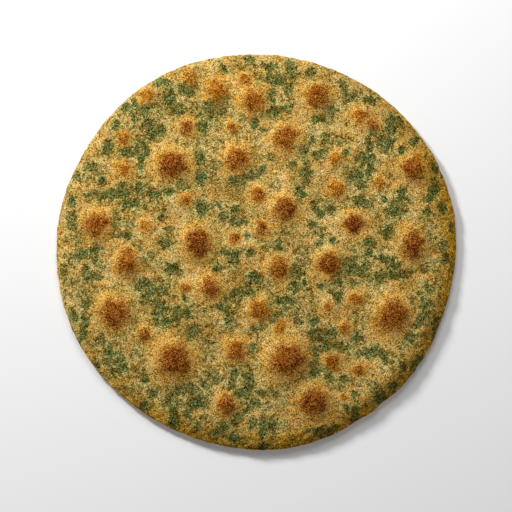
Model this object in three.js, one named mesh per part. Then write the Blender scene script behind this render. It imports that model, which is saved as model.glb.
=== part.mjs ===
// A thick round flatbread: wheat dough kneaded with chopped green leaves and toasted on a flat pan.
// Millimetres, +Z up. It rests on its flat underside at z = 0, and its middle is at x = y = 0.

import * as THREE from 'three';
import { mergeGeometries, mergeVertices } from 'three/addons/utils/BufferGeometryUtils.js';

// Driving dimensions
const DIAMETER = 200.3;      // across the edge where it bulges most, before the lobes
const EDGE_HEIGHT = 6.4;     // thickness just inside the sloping edge
const CROWN = 1.5;           // how far the middle stands above the edge
const BULGE_HEIGHT = 2.6;    // level at which the edge reaches out furthest
const SHOULDER = 8.5;        // how far in from the edge its upper slope starts
const SHOULDER_DROP = 1.6;   // power that bends the slope's height, 1 for a plain ellipse
const SHOULDER_REACH = 1.25; // power that bends the slope's reach, 1 for a plain ellipse
const TUCK = 3.4;            // how far in from the edge the flat underside starts
const BLISTER_STEEPNESS = 0.23;   // rise of a blister for each millimetre of its foot's radius
const FOOT_TO_CORE = 1.75;   // radius of a blister's foot against the radius of its toasted top
const SWELL_STEEPNESS = 0.0042;  // height of each wave in the dough for each millimetre of its length

// The edge was pressed out by hand, so it leaves a true circle in a few broad lobes: how many go round,
// how high each stands, and the direction of the first in degrees from +X. A single one sets it off centre.
const LOBES = [
  { count: 1, height: 0.83, at: 93 },
  { count: 3, height: 0.5, at: 30 },
  { count: 4, height: 0.7, at: 23 },
  { count: 5, height: 0.15, at: 47 },
  { count: 7, height: 0.3, at: 15 },
  { count: 9, height: 0.15, at: 5 },
];

// Small cracks where the rim split as it was pressed: direction in degrees, depth and half-width.
const CRACKS = [
  { at: -60, depth: 0.9, halfWidth: 3.5 },
  { at: -51, depth: 0.7, halfWidth: 3.0 },
];

// Waves in the dough: the length of each. From one to the next their direction turns by the golden angle.
const SWELL_LENGTHS = [61, 47, 38, 31, 26, 19, 15, 12];
const GOLDEN_ANGLE = 137.5;

// Blisters that puffed up on the pan: place of the toasted top as x, y, and its radius.
const LARGE_BLISTERS = [
  [-41.5, 43.5, 7], [-19.5, 80.5, 6], [-1.5, 75, 6.3], [30.5, 77.5, 6.7], [14.5, 56, 6.7], [-9, 45.5, 6.7],
  [79.5, 40.5, 6], [-79.5, 12.5, 7], [-64.5, -6.5, 6], [-70.5, -31.5, 8], [-29.5, 3.5, 7], [14, 20, 6.3],
  [11, -9.5, 5.5], [36, -7.5, 6], [48, 13.5, 5], [78, 2, 7], [67.5, -32.5, 8], [-41.5, -56.5, 8.5],
  [-10, -51, 5.5], [15.5, -55.5, 9.5], [28.5, -77.5, 6.5], [-15, -78, 5], [-23, -19.5, 5.3],
  [2, -30.5, 5.3],
];
const SMALL_BLISTERS = [
  [-55, 77.5, 4], [-66.5, 56.5, 3.5], [-66.5, 40.5, 4], [-34.5, 61.5, 4], [-33, 86.5, 4], [-6.5, 85.5, 3.5],
  [-12.5, 61.5, 2.7], [52.5, 67.5, 4], [58, 63, 3.5], [39.5, 45.5, 3], [61.5, 33, 3], [40.5, 30.5, 4],
  [-55, 12, 3], [-35.5, 25, 3], [-35.5, -19.5, 2.7], [0.5, 27, 4], [2.5, 10.5, 3.5],
  [36, -28.5, 2.5], [49.5, -25, 3.5], [-55.5, -42.5, 3.5], [11.5, -39.5, 3], [43.5, -39.5, 3],
  [38, -56.5, 4], [51, -60.5, 3], [43.5, -74.5, 2.5],
];

// How finely the surface is divided
const RINGS = 36;                 // rings from the middle to the shoulder
const SECTORS = 6;                // each ring gains one segment in every sector
const RIM_SEGMENTS = RINGS * SECTORS;
const SLOPE_ROWS = 4;             // rows from the shoulder down to the bulge
const EDGE_ROWS = SLOPE_ROWS + 2; // and on to the underside
const SEAM = 1e-3;                // corners nearer to each other than this are one
const HAIR = 1e-6;                // keeps a corner that lies between two sectors in the second

const { degToRad, euclideanModulo } = THREE.MathUtils;

/** Distance from the middle to the edge in a direction given in radians. */
function edgeRadius(turn) {
  let radius = DIAMETER / 2;
  for (const lobe of LOBES) {
    radius += lobe.height * Math.cos(lobe.count * (turn - degToRad(lobe.at)));
  }
  for (const crack of CRACKS) {
    const aside = radius * Math.sin((turn - degToRad(crack.at)) / 2) * 2;
    radius -= crack.depth * Math.exp(-((aside / crack.halfWidth) ** 2));
  }
  return radius;
}

/** Slow waves that the pressed dough keeps. */
function swell(x, y) {
  let height = 0;
  SWELL_LENGTHS.forEach((length, index) => {
    const turn = degToRad(GOLDEN_ANGLE * index);
    const along = x * Math.cos(turn) + y * Math.sin(turn);
    height += SWELL_STEEPNESS * length * Math.sin((2 * Math.PI * along) / length + index);
  });
  return height;
}

/** How much the blisters lift the crust. Where two meet, the higher one wins. */
function blisterRise(x, y) {
  let rise = 0;
  for (const [blisterX, blisterY, core] of [...LARGE_BLISTERS, ...SMALL_BLISTERS]) {
    const foot = core * FOOT_TO_CORE;
    const reach = Math.hypot(x - blisterX, y - blisterY) / foot;
    if (reach < 1) {
      rise = Math.max(rise, BLISTER_STEEPNESS * foot * (1 - reach ** 2) ** 2);
    }
  }
  return rise;
}

/** Height of the upper crust over the underside, inside the sloping edge. */
function crustHeight(x, y) {
  const reach = Math.hypot(x, y) / edgeRadius(Math.atan2(y, x));
  return EDGE_HEIGHT + CROWN * (1 - reach ** 2) + swell(x, y) + blisterRise(x, y);
}

/** Keeps positions alone, so that pieces can be merged into one closed surface. */
function bare(geometry) {
  geometry.deleteAttribute('uv');
  geometry.deleteAttribute('normal');
  return geometry.index ? geometry.toNonIndexed() : geometry;
}

/** Moves every vertex of a geometry to where place(vertex) says. */
function reshape(geometry, place) {
  const position = geometry.getAttribute('position');
  const vertex = new THREE.Vector3();
  for (let index = 0; index < position.count; index += 1) {
    vertex.fromBufferAttribute(position, index);
    place(vertex);
    position.setXYZ(index, vertex.x, vertex.y, vertex.z);
  }
  return geometry;
}

/** A corner of the six-sided pyramid that the upper crust is divided on. */
function corner(sector) {
  const turn = degToRad((360 / SECTORS) * sector);
  return [Math.cos(turn), Math.sin(turn), 0];
}

/** The upper crust: a six-sided cap whose rings are rounded out and laid on the crust's height. */
function upperCrust() {
  const corners = [0, 0, 1];
  const faces = [];
  for (let sector = 0; sector < SECTORS; sector += 1) {
    corners.push(...corner(sector));
    faces.push(0, sector + 1, ((sector + 1) % SECTORS) + 1);
  }
  const cap = bare(new THREE.PolyhedronGeometry(corners, faces, 1, RINGS - 1));
  const sectorAngle = degToRad(360 / SECTORS);
  const apothem = Math.cos(sectorAngle / 2);
  return reshape(cap, (vertex) => {
    const turn = euclideanModulo(Math.atan2(vertex.y, vertex.x), 2 * Math.PI);
    const sector = Math.floor(turn / sectorAngle + HAIR);
    const aside = turn - (sector + 0.5) * sectorAngle;
    const flat = Math.hypot(vertex.x, vertex.y) * Math.cos(aside) / apothem;
    const ring = Math.round((RINGS * flat) / (flat + vertex.z));
    const step = Math.tan(aside) / Math.tan(sectorAngle / 2);
    placeOnCrust(vertex, ring, (sector + 0.5 + step / 2) * sectorAngle);
  });
}

/** Puts a vertex on the crust, on one of its rings and in a direction given in radians. */
function placeOnCrust(vertex, ring, turn) {
  const radius = ((edgeRadius(turn) - SHOULDER) * ring) / RINGS;
  vertex.x = radius * Math.cos(turn);
  vertex.y = radius * Math.sin(turn);
  vertex.z = crustHeight(vertex.x, vertex.y);
}

/** The edge: from the shoulder it slopes down to the bulge, then turns in under the bread. */
function slopedEdge() {
  const tube = bare(new THREE.CylinderGeometry(1, 1, 1, RIM_SEGMENTS, EDGE_ROWS, true));
  return reshape(tube, (vertex) => {
    const turn = Math.atan2(vertex.z, -vertex.x);
    const row = Math.round((0.5 - vertex.y) * EDGE_ROWS);
    const outermost = edgeRadius(turn);
    let inset;
    if (row <= SLOPE_ROWS) {
      const tilt = (Math.PI / 2) * (1 - row / SLOPE_ROWS);
      const shoulder = outermost - SHOULDER;
      const top = crustHeight(shoulder * Math.cos(turn), shoulder * Math.sin(turn));
      inset = SHOULDER * (1 - Math.cos(tilt) ** SHOULDER_REACH);
      vertex.z = BULGE_HEIGHT + (top - BULGE_HEIGHT) * Math.sin(tilt) ** SHOULDER_DROP;
    } else {
      const tilt = ((Math.PI / 2) * (row - SLOPE_ROWS)) / (EDGE_ROWS - SLOPE_ROWS);
      inset = TUCK * (1 - Math.cos(tilt));
      vertex.z = BULGE_HEIGHT * (1 - Math.sin(tilt));
    }
    vertex.x = (outermost - inset) * Math.cos(turn);
    vertex.y = (outermost - inset) * Math.sin(turn);
  });
}

/** The flat underside that lay on the pan. */
function underside() {
  const disc = bare(new THREE.CircleGeometry(1, RIM_SEGMENTS));
  return reshape(disc, (vertex) => {
    const isMiddle = Math.hypot(vertex.x, vertex.y) < SEAM;
    if (isMiddle) {
      return;
    }
    const turn = Math.atan2(-vertex.y, vertex.x);
    const radius = edgeRadius(turn) - TUCK;
    vertex.set(radius * Math.cos(turn), radius * Math.sin(turn), 0);
  });
}

/** One closed skin, centred over the middle of its footprint. */
function flatbreadGeometry() {
  const skin = mergeVertices(mergeGeometries([upperCrust(), slopedEdge(), underside()]), SEAM);
  skin.computeBoundingBox();
  const middle = skin.boundingBox.getCenter(new THREE.Vector3());
  skin.translate(-middle.x, -middle.y, 0);
  skin.computeVertexNormals();
  return skin;
}

function bakedDough() {
  return new THREE.MeshStandardMaterial({ color: 0xa88c4a, roughness: 0.85, metalness: 0 });
}

const flatbread = new THREE.Mesh(flatbreadGeometry(), bakedDough());
flatbread.name = 'chapati';

const bread = new THREE.Group();
bread.add(flatbread);

export default bread;
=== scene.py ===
"""A thick chapati of wheat dough kneaded with chopped green leaves, toasted on a flat pan.

The bread is one piece. It starts as a bevelled round of dough, takes the outline and the blisters
of its solid, and gets its crumb, its sunken leaf and its crusty blister tops as relief.
The scene is in metres with +Z up. The bread's own numbers are in millimetres.
"""

import math
import random

import bpy
import numpy as np
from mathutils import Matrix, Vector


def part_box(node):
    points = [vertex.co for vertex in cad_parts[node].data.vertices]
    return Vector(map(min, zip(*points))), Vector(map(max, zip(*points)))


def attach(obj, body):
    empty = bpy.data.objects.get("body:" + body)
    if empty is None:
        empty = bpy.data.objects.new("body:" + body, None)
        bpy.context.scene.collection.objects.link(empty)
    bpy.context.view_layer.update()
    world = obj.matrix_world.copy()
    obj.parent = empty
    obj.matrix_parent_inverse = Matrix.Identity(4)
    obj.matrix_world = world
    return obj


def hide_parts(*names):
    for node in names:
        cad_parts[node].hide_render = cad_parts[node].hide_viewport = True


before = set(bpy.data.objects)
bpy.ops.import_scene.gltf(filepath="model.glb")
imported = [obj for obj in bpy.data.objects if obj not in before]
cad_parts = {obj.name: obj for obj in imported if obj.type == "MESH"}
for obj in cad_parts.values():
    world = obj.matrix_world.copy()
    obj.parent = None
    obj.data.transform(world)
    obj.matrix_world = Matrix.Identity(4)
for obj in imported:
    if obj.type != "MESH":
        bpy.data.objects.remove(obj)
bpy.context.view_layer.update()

MM = 0.001

# The round of dough
ROUND_SIDES = 96
ROUND_HEIGHT = 7.9
SHOULDER_FALL = 4.2       # bevel along its upper edge, and its steps
SHOULDER_STEPS = 4
TUCK = 2.4                # bevel at its foot, and its steps
TUCK_STEPS = 3
SAME_LEVEL = 1e-6         # corners nearer to a level than this, in metres, lie on it

# The skin that is shrunk onto the solid
SKIN_STEP = 0.85          # size of its faces
SKIN_EASE = 0.5           # how far each corner is eased towards its neighbours, and how often
SKIN_PASSES = 8

BREAD_RADIUS = 100.2

# Where one part of the skin passes into the next: levels, and distances from the middle
UNDERSIDE_LEVELS = (1.2, 2.6)     # up to where the edge reaches out furthest
UPPER_LEVELS = (1.1, 4.1)
EDGE_LEVELS = (.3, 2)
EDGE_DISTANCES = (88, 97)
FLAT_LEVELS = (.2, 1)
FLAT_DISTANCES = (90, 96)
SUNKEN_LEAF = (-.3, .5)           # depth inside a leaf flake
BLISTER_TOP = (.5, 1.3)           # distance from a blister against its radius

# Relief: where it lies, its height, the size of its lumps, how many finer layers they have, and
# the share of the height that stays below the skin. Without lumps all of it is lifted evenly.
RELIEF = [
    ("upper", 0.5, 7, 1, 0.5),      # slow unevenness of the dough
    ("upper", 0.5, 2.4, 2, 0.5),    # its crumb
    ("crust", 0.3, 2.6, 1, 0.5),    # crusty tops of the blisters
    ("sunken", -0.12, 0, 0, 0),     # leaf flakes
    ("edge", 0.9, 5, 2, 0.58),      # pressed edge
    ("under", 0.5, 2.4, 2, 0.9),    # crumb of the underside
]

# Blisters, toasted first where they touched the pan: x, y, radius across, radius up, how dark it
# is from 0 to 1, and for a slanted one its turn in degrees.
BLISTERS = [
    (-55, 77.5, 4, 4, .4), (-66.5, 56.5, 3.5, 3.5, .5), (-66.5, 40.5, 4, 4, .4),
    (-42.5, 42.3, 7.6, 7.6, .85), (-34.5, 61.5, 4, 4, .75), (-33, 86.5, 4, 4, .45),
    (-19.5, 80.5, 6, 6, .45), (-6.5, 85.5, 3.5, 3.5, .45), (-1.5, 75, 6.3, 6.3, .65),
    (30.5, 77.5, 6.7, 6.7, .7), (-12.5, 61.5, 2.7, 2.7, .5), (14.5, 56, 6.7, 6.7, .7),
    (-9, 45.5, 6.7, 6.7, .7), (52.5, 67.5, 4, 4, .5), (58, 63, 3.5, 3.5, .75),
    (78.8, 41, 6.3, 7.2, .8), (39.5, 45.5, 3, 3, .3), (61.5, 33, 3, 3, .45),
    (40.5, 30.5, 4, 4, .4), (-79.5, 12.5, 7, 7, .75), (-55, 12, 3, 3, .38),
    (-64.5, -6.5, 5, 7, .65), (-35.5, 25, 3, 3, .32), (-70.5, -31.5, 8, 8, .75),
    (-35.5, -19.5, 2.7, 2.7, .55), (-28.9, 3.2, 7, 7.8, .9), (-10.6, 5.4, 3.2, 3.2, .7),
    (0.5, 27, 4, 4, .6), (14, 20, 6.3, 6.3, .85), (2.5, 10.5, 3.5, 3.5, .75),
    (11, -9.5, 5.5, 5.5, .65), (36, -7.5, 6, 6, .82), (-23, -19.5, 5.3, 5.3, .7),
    (2, -30.5, 5.3, 5.3, .6), (36, -28.5, 2.5, 2.5, .58), (48.5, 12.8, 5.4, 5.4, 1),
    (78, 2, 5.5, 8.5, .85), (49.5, -25, 3.5, 3.5, .5), (67.6, -33.6, 9.4, 7.6, .75, 50),
    (-55.5, -42.5, 2.8, 4.5, .6), (-40.6, -55.6, 9, 9, .8), (-10, -51, 5.5, 5.5, .62),
    (11.5, -39.5, 2.5, 3.5, .4), (15.5, -55.5, 9, 9.5, .82), (-15, -78, 5, 5, .72),
    (27.6, -76.6, 8.2, 6.6, .9, 30), (43.5, -39.5, 3, 3, .3), (38, -56.5, 4, 4, .7),
    (51, -60.5, 3, 3, .65), (43.5, -74.5, 2, 2, .45),
]

# Leaf flakes kneaded into the upper crust: x, y, size across, size up, and for a slanted one its
# turn in degrees.
LEAVES = [
    (-47, 85, 10, 4), (-34, 81, 11, 7), (-43, 76, 6, 8), (-40, 71, 7, 8), (-65, 72, 6, 5),
    (-61, 74, 3, 6), (-70, 63, 5, 5), (-61, 65, 3, 4), (-54, 63, 7, 8), (-47, 61, 4, 5),
    (-51, 58, 9, 5, 50), (-57, 71, 9, 4), (-74, 51, 5, 9), (-56, 51, 6, 10), (-58, 44, 4, 8),
    (-64, 49, 8, 5), (-83, 42, 4, 7, -75), (-90, 37, 5, 4), (-77, 34, 4, 5), (-71, 28, 26, 5, 5),
    (-82, 28, 6, 4), (-52, 28, 10, 5), (-60, 31, 7, 5), (-37, 32, 6, 5), (-17, 92.5, 8, 3.5, -60),
    (-3, 96, 5, 5), (6, 93, 9, 4), (17, 93, 6, 7), (27, 89, 6, 5, 40), (10, 86, 12, 7, -15),
    (16, 81, 5, 5), (7.5, 78, 4, 9), (9, 70, 12, 4, 15), (-21, 71, 14, 9), (-15, 75, 3, 6, -20),
    (-1, 64, 4, 6), (4, 60, 4, 3), (31, 66, 7, 4), (38, 70, 6, 5), (35, 57, 5, 5),
    (24, 50, 6, 4, 30), (31, 47, 5, 6), (18, 42.5, 4, 4), (25, 38, 5, 12, -8), (-28, 46, 5, 8),
    (-28, 36, 5, 7), (-2, 37, 15, 4, 12), (-10, 34, 8, 5, 20), (44, 82, 4, 9), (57, 75.5, 9, 4),
    (48, 77, 5, 5), (68, 63, 6, 10), (65, 54, 8, 9), (56, 55, 4, 5), (79, 55, 6, 5),
    (73, 50, 4, 5), (54, 46, 10, 6), (47.5, 37, 6, 7), (52, 38, 3, 9), (57, 40, 4, 10),
    (53, 32, 5, 6), (56.5, 52, 4, 6), (85, 47, 3, 5), (89, 31, 6, 10, -15), (45, 49, 4, 4),
    (85, 46, 3, 6), (-92, 15, 6, 8), (-92, 24, 4, 7), (-63, 23, 8, 5), (-70, 16, 4, 7),
    (-67, 7, 10, 4), (-85, -2, 15, 5, 15), (-96, -11, 4, 3), (-85, -10, 4, 4), (-81, -14, 10, 3),
    (-47, 16, 5, 4), (-43, 10, 4, 3), (-45, 3, 8, 5), (-41, -10, 6, 8, 70), (-57, -18, 9, 6),
    (-49, -21.5, 10, 5), (-55, -25, 5, 6), (-84.5, -28, 6, 5), (-91, -33, 5, 6), (-85, -35, 5, 6),
    (-48, -32, 7, 6), (-39, -33, 4, 9), (-34, -33, 4, 5), (-50, -27, 8, 4), (-27, 21, 7, 8),
    (-19, 23, 4, 3), (-11, 20, 4, 5), (-9, 14, 9, 4, -15), (22, 28, 5, 8), (29, 22, 4, 6),
    (31.5, 18, 4, 5), (37, 20, 4, 5), (11.5, 1, 4, 4), (-11, -5, 5, 7), (-3, -2, 4, 4),
    (-1, -14, 6, 8, 95), (-10, -23, 13, 6, 15), (-4, -22, 5, 4), (-18, -29, 8, 3.5),
    (-17, -2, 7, 3), (20, -11, 6, 8), (19, -19, 7, 6), (14, -26, 14, 4), (9, -34, 9, 5, 25),
    (29, -36, 4, 5), (-14, -34, 4, 6), (-20, -10, 4, 4), (3, -39, 4, 6, 30), (70, 21, 8, 10, -15),
    (52, 24, 8, 6, -25), (93, 21, 5, 5), (85, 19, 4, 4), (65, 9, 7, 7), (56, 4, 5, 4),
    (56, -2, 4, 4), (93, 2, 4, 8), (94, -4, 4, 7), (97.5, 11, 3, 5), (64, -5, 9, 4),
    (46, -9, 8, 9), (52, -11, 9, 7), (68, -13, 16, 4, 3), (61, -14, 5, 5), (83, -10, 5, 4),
    (40, -16, 5, 7, -20), (40.5, -24, 4, 6), (86, -19, 6, 4), (78, -26, 3, 5), (84, -32, 6, 6),
    (84, -28, 8, 5), (32, -19, 4, 3), (89, -35, 3, 4), (-86, -41, 4, 13, -20), (-77, -45, 4, 6),
    (-73, -54, 5, 13), (-67, -58, 6, 8), (-70, -61, 5, 3), (-79, -58, 4, 5), (-55, -65, 4, 4),
    (-51, -72, 5, 4), (-40, -72.5, 15, 4, 40), (-44, -77, 5, 4), (-40.5, -84, 6, 13),
    (-34, -82, 4, 6), (-32, -41, 6, 6), (-45, -36, 5, 5), (-56, -79, 4, 6), (-29, -77, 11, 7),
    (-33, -70, 7, 6), (-20.5, -65.5, 4, 5), (-11, -62, 4, 6), (-4, -67, 5, 11), (-8, -73, 9, 5),
    (-12, -68, 4, 8), (8, -72, 4, 3), (-4, -79, 5, 5), (-9.5, -85, 4, 8, -45), (-16, -89, 5, 4),
    (-19.5, -92, 7, 3.5), (-11, -94, 5, 4), (-2, -40, 5, 3), (3.5, -89, 4, 11), (8, -88, 4, 8),
    (4, -99, 4, 5, 30), (29, -60, 6, 10, -8), (36, -63, 5, 5), (30, -43, 10, 6), (37, -42, 6, 5),
    (38, -49, 14, 4), (30, -52, 4, 8), (33, -91, 12, 5), (39, -89, 4, 2.5, 40), (-29, -88, 3, 4),
    (50, -45, 6, 6), (58, -52, 13, 5), (64, -55, 4, 5), (80, -37, 4, 6, -25), (76, -44, 5, 5),
    (89, -42, 3, 8), (79, -56, 4, 5, -20), (82, -54, 6, 3), (78, -59, 3, 5), (73, -59, 4, 4),
    (68, -69, 6, 4, 50), (61, -75, 6, 6), (63, -74, 4, 8), (49, -83, 4, 11), (45, -80, 4, 4),
    (44, -65, 4, 4), (21, -36, 5, 5), (-1, -77, 5, 4), (-44, 29, 6, 4), (64, 25, 3, 4),
    (28, 54, 4, 5), (-80, 1, 6, 4), (58, 59, 5, 4), (-2, -50, 3, 8), (86, 25, 5, 5),
    (-27, 62, 6, 5), (7, -24, 4, 4), (-60, 50, 5, 6), (-62, -27, 4, 5), (49, -72, 4, 3),
    (-5, 7, 3, 3), (24, -17, 4, 4), (38, 4, 5, 3), (-67, 32, 6, 4), (73, 28, 5, 5),
    (-2, -87, 4, 5), (35, -59, 5, 4), (3, 40, 5, 4), (59, -49, 4, 3), (-70, 11, 4, 4),
    (81, -22, 3, 3), (28, 12, 5, 4), (38, -22, 3, 3), (-25, -68, 5, 4), (69, -9, 5, 4),
    (-17, 16, 5, 4), (-36, -24, 3, 3), (-81, -5, 5, 4), (3, -72, 5, 4), (65, 18, 4, 4),
    (7, -28, 4, 4), (31, 2, 4, 3), (73.5, 19, 4, 4), (71, 65, 9, 4, -48), (18, 87, 5, 4),
    (76, -12, 5, 4), (-4, -18, 4, 4), (-64, 29, 5, 4), (89, 41, 7, 3, -63),
]

# Places where the dough is only dusted with chopped leaf, given in the same way.
LEAF_DUST = [
    (-56, 70, 28, 6, 10), (-46, 80, 9, 14), (-33, 74, 10, 8), (-65, 62, 8, 6),
    (-37, 54, 10, 6, -20), (-59, 58, 8, 9), (-57, 39, 8, 14), (-79, 40, 10, 8), (-85, 36, 9, 7),
    (-44, 33, 16, 7, 15), (-65, 46, 8, 8), (-49, 66, 9, 8), (-23, 63, 14, 9), (-25, 56, 11, 10),
    (-19, 48, 6, 22), (-24, 42, 12, 14), (-24, 34, 12, 5), (-7, 56, 9, 8), (-7, 66, 5, 6),
    (-8, 93, 6, 4), (0, 86, 4, 9), (16, 75, 7, 16), (6, 46, 8, 6), (1, 45, 6, 8), (28, 60, 5, 11),
    (23, 48, 4, 7), (10, 66, 9, 5), (9, 33, 6, 7), (-1, 55, 6, 10), (27, 55, 8, 6),
    (39, 85.5, 8, 3), (53, 79, 15, 5), (43, 75, 7, 6), (37, 66, 8, 7), (40, 55, 18, 7),
    (66, 48, 7, 4), (73, 31, 6, 9), (89, 41, 10, 4, -55), (69, 68, 6, 5), (56, 43, 8, 18),
    (48, 36, 10, 10), (35, 51, 8, 8), (-75, 25, 9, 5), (-61, 22, 16, 12), (-49, 22, 13, 8),
    (-90, 10, 6, 10), (-89, 5, 9, 12), (-77, -8, 9, 9), (-81, -12, 13, 7), (-91, -20, 14, 16),
    (-81, -22, 5, 17), (-58, -2, 5, 17, 15), (-53, -5, 6, 10), (-69, -20, 9, 5), (-35, -24, 5, 5),
    (-46, -32, 15, 10), (-63, -35, 6, 7), (-65, 13, 12, 8), (-94, -6, 8, 8, 30),
    (-49, -19, 22, 10), (-18, 6, 4, 12), (-14, -1, 18, 5), (-23, -5, 10, 8), (-18, -11, 7, 5),
    (-1, 18, 4, 7), (0, 5, 9, 3), (15, 7, 11, 16), (7, 0, 13, 4), (26, 0, 17, 5), (24, -5, 7, 14),
    (6, -18, 10, 8), (18, -29, 22, 10), (26, -27, 6, 17), (-11, -30, 10, 9), (-31, -31, 13, 12),
    (35, 21, 9, 8), (31, 8, 10, 7), (-13, 17, 18, 12), (-33, 18, 6, 7), (-34, 32, 8, 4),
    (-22, 19, 7, 7), (44, 23, 9, 7), (59, 22, 8, 13), (63, 27, 7, 6), (73, 29, 6, 9),
    (61, 2, 12, 6), (48, 1, 10, 7), (86, 9, 10, 13), (84, 16, 8, 8), (86, -7, 8, 4, 20),
    (91, -15, 5, 15), (98, -16, 5, 20), (59, -18, 8, 11), (55, -28, 6, 12), (46, -17, 10, 6),
    (53, -36, 4, 8), (84, -29, 12, 14), (36, -18, 8, 5), (67, -9, 12, 6), (49, -9, 17, 13),
    (-68, -46, 7, 11, -35), (-78, -52, 8, 17), (-59, -54, 14, 12), (-61, -61, 11, 8),
    (-60, -37, 5, 10, -15), (-56, -60, 5, 14), (-60, -71, 15, 8), (-53, -77, 7, 11),
    (-55, -85, 10, 6), (-45, -38, 14, 8), (-33, -43, 12, 8), (-47, -71, 9, 6), (-39, -94, 6, 5),
    (-71, -56, 12, 18), (-39, -74, 16, 12), (-25, -48, 12, 9), (-24, -57, 9, 12),
    (-29, -64, 15, 7), (-16, -62, 10, 11), (-28, -71, 14, 9), (-11, -33, 7, 14),
    (-14, -38, 11, 8), (-0.5, -50, 4, 17), (-8, -59, 13, 5), (10, -71.5, 19, 8),
    (18, -77.5, 7, 3), (-16, -90, 19, 9), (-9, -96, 13, 6), (-3, -99, 9, 3), (18, -97, 9, 5, 55),
    (11, -100, 12, 4), (14, -88, 8, 6), (23, -64, 9, 5, 30), (-26, -85, 10, 5), (-22, -99, 12, 4),
    (35, -99, 14, 6), (27, -96, 4, 8), (6, -89, 10, 14), (-7, -68, 14, 17), (-1, -42, 8, 6),
    (5, -78, 8, 4), (0, -88, 8, 5), (46, -51, 13, 5), (50, -37, 5, 12), (67, -59, 12, 6),
    (69, -55, 9, 8), (72, -47, 7, 6), (82, -44, 11, 6), (81, -49, 5, 8), (93, -40, 6, 15),
    (95, -31, 4, 12), (72, -63, 7, 8), (74, -69, 6, 6), (50, -67, 17, 4), (58, -68, 4, 8),
    (39, -68, 12, 8), (64, -80, 5, 8), (68, -76, 5, 6), (55, -87, 11, 5, 30),
    (43, -93, 16, 4, 10), (34, -46, 15, 14),
]

# How far the outlines of these sway to and fro, and the length of the waves
LEAF_SWAY = (.9, 6)
BLISTER_SWAY = (.9, 13)

# The underside has its own, strewn by chance: how many, and the seed of their places
HIDDEN_LEAVES = (190, 7)
HIDDEN_DUST = (160, 11)
PAN_MARKS = (34, 21)
HIDDEN_LEAF_ACROSS = (4, 15)
HIDDEN_LEAF_UP = (3.5, 9)
PAN_MARK_RADII = [3, 4, 5, 6, 7, 9]
PAN_MARK_SHAPE = (.8, 1.25)       # radius up against the radius across
PAN_MARK_DARKNESS = (.45, .95)

# Painted light on the edge: warm bounce light painted on the side turned from the key light, and
# painted shade on the side facing it.
# For each: direction in degrees from +X, the cosines of the angle away from it between which it
# sets in, and the distances from the middle
PAINTED_BOUNCE_SIDE = (-50, (-.35, .45), (88, 99))
PAINTED_SHADE_SIDE = (100, (-.4, .6), (84, 98))
# how dark the painted shade on the edge gets
PAINTED_SHADE_DEPTH = .22


# ---- Shape -----------------------------------------------------------------------------------

def only(piece):
    """Makes a piece the only selected object."""
    bpy.ops.object.select_all(action="DESELECT")
    piece.select_set(True)
    bpy.context.view_layer.objects.active = piece


def finish_with(piece, kind, **settings):
    """Adds a modifier to a piece and applies it."""
    only(piece)
    bpy.ops.object.modifier_add(type=kind)
    modifier = piece.modifiers[-1]
    for name, value in settings.items():
        setattr(modifier, name, value)
    bpy.ops.object.modifier_apply(modifier=modifier.name)


def select_ring(piece, level):
    """In edit mode, selects the ring of edges that lies at one level."""
    bpy.ops.mesh.select_all(action="DESELECT")
    bpy.ops.object.mode_set(mode="OBJECT")
    corners = piece.data.vertices
    for edge in piece.data.edges:
        edge.select = all(abs(corners[i].co.z - level) < SAME_LEVEL for i in edge.vertices)
    bpy.ops.object.mode_set(mode="EDIT")


def pressed_round():
    """A round of dough with its upper edge sloped and its foot rounded."""
    low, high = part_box("chapati")
    top = ROUND_HEIGHT * MM
    bpy.ops.object.select_all(action="DESELECT")
    bpy.ops.mesh.primitive_cylinder_add(
        vertices=ROUND_SIDES, radius=(high.x - low.x) / 2, depth=top, location=(0, 0, top / 2)
    )
    dough = bpy.context.object
    dough.name = dough.data.name = "leaf_flatbread"
    bpy.ops.object.transform_apply(location=True, rotation=True, scale=True)
    bpy.ops.object.mode_set(mode="EDIT")
    bpy.ops.mesh.select_mode(type="EDGE")
    select_ring(dough, top)
    bpy.ops.mesh.bevel(offset=SHOULDER_FALL * MM, segments=SHOULDER_STEPS, affect="EDGES")
    select_ring(dough, 0)
    bpy.ops.mesh.bevel(offset=TUCK * MM, segments=TUCK_STEPS, affect="EDGES")
    bpy.ops.mesh.select_all(action="SELECT")
    bpy.ops.mesh.normals_make_consistent(inside=False)
    bpy.ops.object.mode_set(mode="OBJECT")
    return dough


def positions(piece):
    """Corner positions in millimetres."""
    flat = np.zeros(len(piece.data.vertices) * 3)
    piece.data.vertices.foreach_get("co", flat)
    return flat.reshape(-1, 3) / MM


def smooth(low, high, values):
    """Rises smoothly from 0 at low to 1 at high."""
    part = np.clip((values - low) / (high - low), 0, 1)
    return part * part * (3 - 2 * part)


def ellipse_reach(points, x, y, half_across, half_up, turn=0):
    """Distance from the middle of an ellipse, 1 on its line."""
    dx, dy = points[:, 0] - x, points[:, 1] - y
    cosine, sine = math.cos(math.radians(turn)), math.sin(math.radians(turn))
    return np.hypot((dx * cosine + dy * sine) / half_across, (dy * cosine - dx * sine) / half_up)


def wavy(points, sway, length):
    """The points swayed by crossing waves, so that what is laid on them gets a wavy outline."""
    swayed = points.copy()
    pace = 2 * math.pi / length
    x, y = points[:, 0] * pace, points[:, 1] * pace
    swayed[:, 0] += sway * (np.sin(y * .9 + x * .4) + np.sin(y * 1.7 - x * .8 + 2)) / 2
    swayed[:, 1] += sway * (np.sin(x * .9 - y * .3 + 1) + np.sin(x * 1.6 + y * .9 + 4)) / 2
    return swayed


def leaf_depth(points, leaves, farthest=3):
    """How deep a point lies in a leaf flake: 1 in its middle, 0 on its line, negative outside."""
    nearest = np.full(len(points), 1.0 + farthest)
    for x, y, across, up, *turn in leaves:
        nearest = np.minimum(nearest, ellipse_reach(points, x, y, across / 2, up / 2, *turn))
    return 1 - nearest


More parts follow.
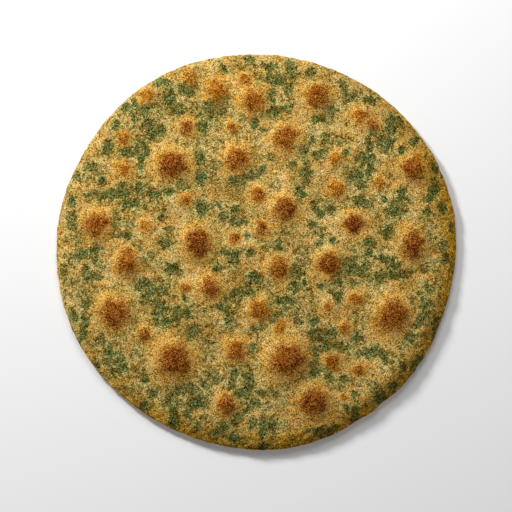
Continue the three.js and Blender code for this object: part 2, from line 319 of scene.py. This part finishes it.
def blister_reach(points, blisters, farthest=4):
    """Distance from the nearest blister against its radius, and how dark that blister is."""
    reach = np.full(len(points), float(farthest))
    dark = np.zeros(len(points))
    for x, y, across, up, darkness, *turn in blisters:
        here = ellipse_reach(points, x, y, across, up, *turn)
        nearer = here < reach
        reach[nearer] = here[nearer]
        dark[nearer] = darkness
    return reach, dark


def strewn(count, seed, pick):
    """Places all over the round by chance, each finished by pick(chance, x, y)."""
    chance = random.Random(seed)
    places = []
    while len(places) < count:
        x = chance.uniform(-BREAD_RADIUS, BREAD_RADIUS)
        y = chance.uniform(-BREAD_RADIUS, BREAD_RADIUS)
        if math.hypot(x, y) < BREAD_RADIUS:
            places.append(pick(chance, x, y))
    return places


def hidden_leaf(chance, x, y):
    """A leaf flake of the underside, as LEAVES gives the upper ones."""
    across = chance.uniform(*HIDDEN_LEAF_ACROSS)
    up = chance.uniform(*HIDDEN_LEAF_UP)
    return x, y, across, up, chance.uniform(0, 180)


def pan_mark(chance, x, y):
    """A toasted mark of the underside, as BLISTERS gives the upper ones."""
    radius = chance.choice(PAN_MARK_RADII)
    up = radius * chance.uniform(*PAN_MARK_SHAPE)
    return x, y, radius, up, chance.uniform(*PAN_MARK_DARKNESS)


def store(piece, name, values):
    """Keeps one number for every corner, for the material to read."""
    attribute = piece.data.attributes.new(name, "FLOAT", "POINT")
    attribute.data.foreach_set("value", np.asarray(values, np.float32))


def weigh(piece, name, values):
    """A vertex group with a weight for every corner, in hundredths."""
    group = piece.vertex_groups.new(name=name)
    hundredths = np.rint(np.clip(values, 0, 1) * 100).astype(int)
    for step in range(1, 101):
        group.add(np.flatnonzero(hundredths == step).tolist(), step / 100, "REPLACE")


def raise_skin(piece, group, height, lump_size, finer_layers, below):
    """Lifts the skin along its normals where a vertex group says."""
    settings = dict(
        strength=height * MM, mid_level=below, vertex_group=group, texture_coords="LOCAL"
    )
    if lump_size:
        lumps = bpy.data.textures.new(f"{group} lumps", "CLOUDS")
        lumps.noise_scale = lump_size * MM
        lumps.noise_depth = finer_layers
        settings["texture"] = lumps
    finish_with(piece, "DISPLACE", **settings)


def edge_side(points, direction, cosines, distances):
    """1 on one side of the edge, 0 on the other side and in the middle of the bread."""
    away = np.arctan2(points[:, 1], points[:, 0]) - math.radians(direction)
    radius = np.hypot(points[:, 0], points[:, 1])
    return smooth(*distances, radius) * smooth(*cosines, np.cos(away))


def flatbread():
    """The bread with its relief, and with what its crust needs to know kept on its corners."""
    bread = pressed_round()
    finish_with(bread, "REMESH", mode="VOXEL", voxel_size=SKIN_STEP * MM)
    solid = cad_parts["chapati"]
    finish_with(bread, "SHRINKWRAP", target=solid, wrap_method="NEAREST_SURFACEPOINT")
    finish_with(bread, "SMOOTH", factor=SKIN_EASE, iterations=SKIN_PASSES)

    points = positions(bread)
    radius = np.hypot(points[:, 0], points[:, 1])
    level = points[:, 2]
    under = 1 - smooth(*UNDERSIDE_LEVELS, level)
    hidden_leaves = strewn(*HIDDEN_LEAVES, hidden_leaf)
    hidden_dust = strewn(*HIDDEN_DUST, hidden_leaf)
    pan_marks = strewn(*PAN_MARKS, pan_mark)
    swayed = wavy(points, *LEAF_SWAY)
    leaf = leaf_depth(swayed, LEAVES) * (1 - under) + leaf_depth(swayed, hidden_leaves) * under
    dust = leaf_depth(swayed, LEAF_DUST) * (1 - under) + leaf_depth(swayed, hidden_dust) * under
    upper_reach, upper_dark = blister_reach(wavy(points, *BLISTER_SWAY), BLISTERS)
    under_reach, under_dark = blister_reach(points, pan_marks)
    reach = upper_reach * (1 - under) + under_reach * under
    dark = np.where(under > 0.5, under_dark, upper_dark)

    upper = smooth(*UPPER_LEVELS, level)
    weigh(bread, "upper", upper)
    weigh(bread, "sunken", upper * smooth(*SUNKEN_LEAF, leaf))
    weigh(bread, "crust", upper * (1 - smooth(*BLISTER_TOP, reach)))
    weigh(bread, "edge", smooth(*EDGE_DISTANCES, radius) * smooth(*EDGE_LEVELS, level))
    flat = (1 - smooth(*FLAT_LEVELS, level)) * (1 - smooth(*FLAT_DISTANCES, radius))
    weigh(bread, "under", flat)
    for relief in RELIEF:
        raise_skin(bread, *relief)

    store(bread, "leaf", leaf)
    store(bread, "dust", dust)
    store(bread, "reach", reach)
    store(bread, "dark", dark)
    # painted light on the edge: warm bounce light on one side, painted shade on the other
    store(bread, "painted_bounce", edge_side(points, *PAINTED_BOUNCE_SIDE))
    store(bread, "painted_shade", PAINTED_SHADE_DEPTH * edge_side(points, *PAINTED_SHADE_SIDE))
    bread.vertex_groups.clear()
    only(bread)
    bpy.ops.object.shade_smooth()
    return bread


# ---- Finish ----------------------------------------------------------------------------------

def tone(red, green, blue):
    """A colour as it looks on a screen, 0 to 255."""
    return red / 255, green / 255, blue / 255, 1


def grey(light):
    """A neutral colour, 0 to 1."""
    return light, light, light, 1


SCREEN_GAMMA = 2.2

TOASTED, BURNT = tone(172, 111, 24), tone(108, 53, 4)
GOLDEN_RING, PALE_RING = tone(211, 156, 64), tone(200, 160, 85)
GOLDEN_STRAW, OLIVE_STRAW = tone(210, 160, 76), tone(188, 162, 90)
PALE_STRAW, DEEP_STRAW = tone(222, 186, 112), tone(166, 130, 54)
OLIVE_LEAF, GREEN_LEAF = tone(156, 146, 77), tone(138, 144, 77)
# colours of the painted warm bounce light on the edge
BOUNCE_DARK, BOUNCE_BRIGHT = tone(176, 118, 12), tone(242, 186, 46)
# colour of the painted shade on the edge
PAINTED_SHADE_TONE = tone(90, 70, 20)
LEAF_SHADE = (.228, .213, .165, 1)    # what the dark bits of leaf take away from each colour
TOASTED_CAST = (1.06, .95, .86, 1)    # what toasting does to the colour of the speckle
DEEPEST = (.01, .01, .01)

# Sizes of what makes up the crust's pattern, in millimetres
GRAIN, FLECK, GRIT = .36, .45, .5
CRUMB, CHAFF, TUFT, PATCH, TINT, DRIFT = 1.4, 1.9, 2.8, 3.2, 5, 11

# Where parts of the crust set in, and where they are complete
RING = (1.95, 1.1)            # distance from a blister against its radius
TOAST = (1.24, .45)
STAIN = (-.9, .7)             # depth inside a leaf flake
FLAKE = (-.08, .08)
DUSTED = (-.6, .6)            # depth inside a dusted place
CHAFFY = (-.35, .35)

CRUST_RELIEF = .22            # depth of the finest relief, in millimetres
CRUST_ROUGHNESS = (.95, .78)
CRUST_GLOSS = .03

FLOOR_CLOUDS = 90             # size in millimetres
FLOOR_GREYS = grey(.86), grey(.88)
FLOOR_ROUGHNESS = .9
FLOOR_GLOSS = .2
FLOOR_GLOW = .1


class Reading:
    """A socket that carries a number or a colour. Sums and products of numbers add Math nodes."""

    def __init__(self, recipe, socket):
        self.recipe = recipe
        self.socket = socket

    def _math(self, operation, first, second):
        return self.recipe.add("ShaderNodeMath", {"operation": operation}, {0: first, 1: second})

    def __add__(self, other):
        return self._math("ADD", self, other)

    __radd__ = __add__

    def __sub__(self, other):
        return self._math("SUBTRACT", self, other)

    def __rsub__(self, other):
        return self._math("SUBTRACT", other, self)

    def __mul__(self, other):
        return self._math("MULTIPLY", self, other)

    __rmul__ = __mul__


class Recipe:
    """A material in the making."""

    def __init__(self, name):
        self.material = bpy.data.materials.new(name)
        self.material.use_nodes = True
        self.tree = self.material.node_tree
        self.shader = self.tree.nodes["Principled BSDF"]
        self.place = self.add("ShaderNodeTexCoord", out="Object")

    def add(self, kind, settings=None, inputs=None, out=0):
        """Adds a node: its settings first, then its sockets. Returns one of its outputs."""
        node = self.tree.nodes.new(kind)
        for name, value in (settings or {}).items():
            setattr(node, name, value)
        for key, value in (inputs or {}).items():
            self.feed(node.inputs[key], value)
        return Reading(self, node.outputs[out])

    def feed(self, socket, value):
        """Links a reading to a socket, or sets a plain value on it."""
        if isinstance(value, Reading):
            self.tree.links.new(value.socket, socket)
        else:
            socket.default_value = value

    def kept(self, name):
        """A number that the piece keeps for every corner."""
        return self.add("ShaderNodeAttribute", {"attribute_name": name}, out="Fac")

    def shifted(self, shift):
        """The place on the piece, shifted so that two patterns don't fall on each other."""
        if not shift:
            return self.place
        return self.colours("ADD", self.place, (shift, shift / 2, shift / 3))

    def noise(self, size, detail=2.0, roughness=0.5, shift=0):
        """Soft noise around 0.5 with lumps of a given size in millimetres."""
        inputs = {
            "Vector": self.shifted(shift), "Scale": 1 / (size * MM),
            "Detail": detail, "Roughness": roughness,
        }
        return self.add("ShaderNodeTexNoise", {}, inputs)

    def cells(self, size, shift, out):
        """What a pattern of small cells gives out, for cells of a given size in millimetres."""
        inputs = {"Vector": self.shifted(shift), "Scale": 1 / (size * MM)}
        return self.add("ShaderNodeTexVoronoi", {}, inputs, out=out)

    def grains(self, size, shift=0):
        """Even random numbers from 0 to 1, one for each grain."""
        return self.add("ShaderNodeSeparateColor", {}, {0: self.cells(size, shift, "Color")})

    def grit(self, size, shift=0):
        """Distance from the middle of the nearest grain, about 0.5 on the whole."""
        return self.cells(size, shift, "Distance")

    def rise(self, low, high, value, start=0.0, end=1.0):
        """Goes smoothly from start, where the value is low, to end, where it is high."""
        inputs = {
            "Value": value, "From Min": low, "From Max": high, "To Min": start, "To Max": end,
        }
        return self.add("ShaderNodeMapRange", {"interpolation_type": "SMOOTHSTEP"}, inputs)

    def mix(self, share, first, second):
        """Mixes two colours."""
        settings = {"data_type": "RGBA", "blend_type": "MIX", "clamp_factor": True}
        return self.add("ShaderNodeMix", settings, {0: share, 6: first, 7: second}, out=2)

    def colours(self, operation, first, second):
        """Adds, subtracts or compares two colours or places, number by number."""
        return self.add("ShaderNodeVectorMath", {"operation": operation}, {0: first, 1: second})

    def scaled(self, colour, share):
        """A colour times a number."""
        settings = {"operation": "SCALE"}
        return self.add("ShaderNodeVectorMath", settings, {0: colour, "Scale": share})

    def as_light(self, colour):
        """Turns a colour as it looks on a screen into the light that it gives back."""
        return self.add("ShaderNodeGamma", {}, {"Color": colour, "Gamma": SCREEN_GAMMA})


def toasted_dough():
    """Golden dough with leaf kneaded in, toasted blisters, painted warm bounce light and painted
    shade on the edge, and a sandy speckle.
    """
    dough = Recipe("toasted leaf dough")
    leaf = dough.kept("leaf")
    dust = dough.kept("dust")
    reach = dough.kept("reach")
    dark = dough.kept("dark")
    painted_bounce = dough.kept("painted_bounce")
    painted_shade = dough.kept("painted_shade")

    grain = dough.grains(GRAIN)
    fleck = dough.grains(FLECK, shift=17)
    grit = dough.grit(GRIT, shift=3)
    crumb = dough.noise(CRUMB, detail=3, roughness=.6)
    chaff = dough.noise(CHAFF, detail=3, roughness=.6, shift=15)
    tufts = dough.noise(TUFT, detail=3, roughness=.6, shift=11)
    patch = dough.noise(PATCH, detail=3, roughness=.6, shift=7)
    tint = dough.noise(TINT, detail=2, shift=13)
    drift = dough.noise(DRIFT, detail=3, roughness=.55, shift=9)

    # Toasted blisters, browner towards the middle, each with a ring of golden dough round it
    ragged_reach = reach + (tint - .5) * .45 + (patch - .5) * .32 + (crumb - .5) * .12
    halo = dough.rise(*RING, ragged_reach)
    core = dough.rise(*TOAST, ragged_reach)
    char = dark + (patch - .5) * .3
    brown = dough.mix(dough.rise(.1, 1.15, char), TOASTED, BURNT)

    # Dough, from golden to olive straw
    straw = dough.mix(dough.rise(.4, .6, tint), GOLDEN_STRAW, OLIVE_STRAW)
    straw = dough.mix(dough.rise(.42, .7, drift), straw, PALE_STRAW)
    straw = dough.mix(dough.rise(.5, .28, drift), straw, DEEP_STRAW)
    ring = dough.mix(dough.rise(.4, .6, patch), GOLDEN_RING, PALE_RING)
    golden = dough.mix(halo, straw, ring)

    # The juice of the leaves tints the dough softly, and their dark bits have ragged edges
    ragged_leaf = leaf + (patch - .5) * 1.3
    off_blisters = 1 - halo * .4
    stain = dough.rise(*STAIN, ragged_leaf + (tint - .5) * .6)
    zone = dough.rise(*DUSTED, dust + (tufts - .5) * 2)
    leafy = (stain * .92 + (1 - stain) * zone * .36) * off_blisters
    green = dough.mix(dough.rise(.38, .62, tint), OLIVE_LEAF, GREEN_LEAF)
    flake = dough.rise(*FLAKE, ragged_leaf + (crumb - .5) * 2.4 + .06)
    tuft = dough.rise(-.03, .03, chaff - .63 + dough.rise(*CHAFFY, dust) * .13)
    bits = (flake + (1 - flake) * tuft * .8) * off_blisters
    colour = dough.mix(leafy, golden, green)
    colour = dough.mix(core, colour, brown)

    # Painted light on the edge: golden patches of painted warm bounce light on the side turned
    # from the key light, and painted shade on the side facing it
    bounce_tone = dough.mix(dough.rise(.42, .6, tufts), BOUNCE_DARK, BOUNCE_BRIGHT)
    bounce_share = painted_bounce * (1 - leafy) * dough.rise(.3, .6, drift, .35, 1)
    colour = dough.mix(bounce_share, colour, bounce_tone)
    # painted shade on the side of the edge facing the key light
    colour = dough.mix(painted_shade * (1 - leafy * .6), colour, PAINTED_SHADE_TONE)

    # Sandy speckle: dark pits in the dough and light crumbs on the leaf, warmer on the toast
    pits = dough.rise(.88, 1, fleck) * .2
    clouds = dough.rise(.42, .6, tufts, .04, -.04)
    speckle = (.52 - grit) * .45 + (.5 - grain) * .5 + (crumb - .5) * .08 - pits
    speckle = speckle * (1 - bits * .12 - halo * .1) + clouds * (1 + leafy * .3)
    speckle = speckle * (1 - speckle * (1.2 - leafy * 2.1 - core * 1.6))
    shade = dough.mix(bits * (1 - core), grey(0), LEAF_SHADE)
    cast = dough.mix(core, grey(1), TOASTED_CAST)
    colour = dough.colours("SUBTRACT", colour, shade)
    colour = dough.colours("ADD", colour, dough.scaled(cast, speckle))
    colour = dough.colours("MAXIMUM", colour, DEEPEST)

    shader = dough.shader.inputs
    dough.feed(shader["Base Color"], dough.as_light(colour))
    dough.feed(shader["Roughness"], dough.rise(0, 1, grit, *CRUST_ROUGHNESS))
    shader["Specular IOR Level"].default_value = CRUST_GLOSS
    height = (crumb - grit) * (.9 - core * .35) - bits * .25
    bump = {"Strength": 1.0, "Distance": CRUST_RELIEF * MM, "Height": height}
    dough.feed(shader["Normal"], dough.add("ShaderNodeBump", {}, bump))
    return dough.material


def floor_finish():
    """A pale matt floor, a little uneven in its grey."""
    pale = Recipe("pale matt floor")
    cloudy = pale.noise(FLOOR_CLOUDS, detail=2)
    shader = pale.shader.inputs
    pale.feed(shader["Base Color"], pale.mix(cloudy, *FLOOR_GREYS))
    shader["Roughness"].default_value = FLOOR_ROUGHNESS
    shader["Specular IOR Level"].default_value = FLOOR_GLOSS
    shader["Emission Color"].default_value = grey(1)
    shader["Emission Strength"].default_value = FLOOR_GLOW
    return pale.material


# ---- Studio ----------------------------------------------------------------------------------

FLOOR_SIZE = 6

# Name, azimuth, elevation, distance, size and power
LIGHTS = [
    ("key light", 222, 28, 1.2, .25, 15.5),
    ("back light", 180, 45, .6, .4, 1.5),
]
OPEN_SHADE = (.97, .985, 1, 1)
OPEN_SHADE_BRIGHTNESS = .14

CAMERA_ELEVATION = 81.5
CAMERA_DISTANCE = 2.0
CAMERA_TARGET = (-.0002, -.0023, 0)
CAMERA_SIGHT = 20
VIEW_WIDTH = .2557       # how much of the floor the picture takes in
SENSOR = 36


def aim(thing, target):
    """Turns a light or camera so that it looks at a point."""
    x, y, z = (there - here for there, here in zip(target, thing.location))
    heading = math.atan2(y, x) - math.pi / 2
    pitch = math.atan2(math.hypot(x, y), -z)
    thing.rotation_euler = (pitch, 0, heading)


def outward(azimuth, elevation, distance, target=(0, 0, 0)):
    """A point away from a target: azimuth 0 is in front, on the -Y side, and 90 on the +X side."""
    a, e = math.radians(azimuth), math.radians(elevation)
    step = (math.sin(a) * math.cos(e), -math.cos(a) * math.cos(e), math.sin(e))
    return tuple(t + distance * s for t, s in zip(target, step))


def studio_floor():
    """The plain floor that the bread lies on."""
    bpy.ops.object.select_all(action="DESELECT")
    bpy.ops.mesh.primitive_plane_add(size=FLOOR_SIZE)
    floor = bpy.context.object
    floor.name = "floor"
    floor.data.materials.append(floor_finish())


def soft_light(name, azimuth, elevation, distance, size, power):
    """A round soft light that shines on the bread."""
    bpy.ops.object.light_add(type="AREA", location=outward(azimuth, elevation, distance))
    light = bpy.context.object
    light.name = name
    light.data.shape = "DISK"
    light.data.size = size
    light.data.energy = power
    aim(light, (0, 0, 0))


def open_shade():
    """Even light from all round."""
    world = bpy.data.worlds.new("open shade")
    world.use_nodes = True
    background = world.node_tree.nodes["Background"]
    background.inputs["Color"].default_value = OPEN_SHADE
    background.inputs["Strength"].default_value = OPEN_SHADE_BRIGHTNESS
    bpy.context.scene.world = world


def overhead_camera():
    """A long lens that looks almost straight down."""
    place = outward(0, CAMERA_ELEVATION, CAMERA_DISTANCE, CAMERA_TARGET)
    bpy.ops.object.camera_add(location=place)
    camera = bpy.context.object
    camera.name = "camera"
    aim(camera, CAMERA_TARGET)
    camera.data.sensor_width = SENSOR
    camera.data.lens = SENSOR * CAMERA_DISTANCE / VIEW_WIDTH
    camera.data.clip_end = CAMERA_SIGHT
    bpy.context.scene.camera = camera


bread = flatbread()
bread.data.materials.clear()
bread.data.materials.append(toasted_dough())
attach(bread, "root")
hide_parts("chapati")

studio_floor()
for light in LIGHTS:
    soft_light(*light)
open_shade()
overhead_camera()
bpy.context.scene.view_settings.view_transform = "Standard"
